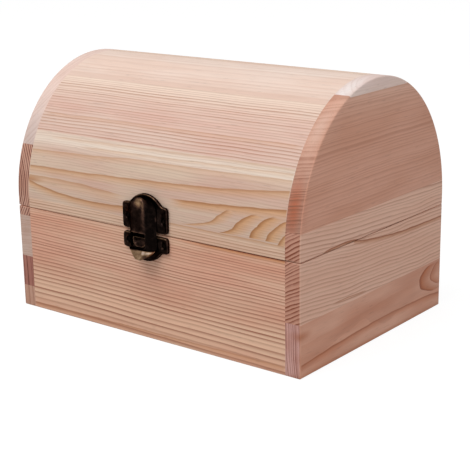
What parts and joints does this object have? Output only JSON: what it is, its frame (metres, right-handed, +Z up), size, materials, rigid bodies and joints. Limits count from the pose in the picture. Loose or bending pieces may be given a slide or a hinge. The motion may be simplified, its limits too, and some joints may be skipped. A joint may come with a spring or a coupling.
{
  "type": "treasure chest box",
  "caption": "Small unfinished pine treasure chest with a domed hinged lid and an antique bronze flap latch.",
  "frame": {"origin": "centre of the underside", "axes": "+Z up, +X to the right along the length seen from the front, -Y out of the latch side"},
  "size_m": [0.12, 0.0926, 0.086],
  "materials": {
    "pine": "sanded, unfinished",
    "antique_bronze": "antique bronze, dark with worn brass edges"
  },
  "bodies": {
    "base": {"base_bottom_panel": "pine", "base_front_board": "pine", "base_back_board": "pine", "base_left_strip_1": "pine", "base_left_strip_2": "pine", "base_left_strip_3": "pine", "base_left_strip_4": "pine", "base_right_strip_1": "pine", "base_right_strip_2": "pine", "left_hinge_base_leaf": "antique_bronze", "left_hinge_pin": "antique_bronze", "right_hinge_base_leaf": "antique_bronze", "right_hinge_pin": "antique_bronze", "base_hinge_brads": "antique_bronze", "latch_lower_plate": "antique_bronze", "latch_lower_brads": "antique_bronze"},
    "lid": {"lid_front_rail": "pine", "lid_back_rail": "pine", "lid_stave_1": "pine", "lid_stave_2": "pine", "lid_stave_3": "pine", "lid_stave_4": "pine", "lid_stave_5": "pine", "lid_stave_6": "pine", "lid_left_strip_1": "pine", "lid_left_strip_2": "pine", "lid_right_strip_1": "pine", "lid_right_strip_2": "pine", "lid_right_strip_3": "pine", "left_hinge_lid_leaf": "antique_bronze", "right_hinge_lid_leaf": "antique_bronze", "lid_hinge_brads": "antique_bronze", "latch_upper_plate": "antique_bronze", "latch_upper_brads": "antique_bronze", "latch_pin": "antique_bronze"},
    "flap": {"latch_flap": "antique_bronze"}
  },
  "joints": [
    {"name": "lid_hinge", "type": "hinge", "parent": "base", "child": "lid", "pos_m": [0, 0.044, 0.03642], "axis": [-1, 0, 0], "range_deg": [0, 155]},
    {"name": "latch_swing", "type": "hinge", "parent": "lid", "child": "flap", "pos_m": [0, -0.0453, 0.04715], "axis": [-1, 0, 0], "range_deg": [0, 120]}
  ]
}
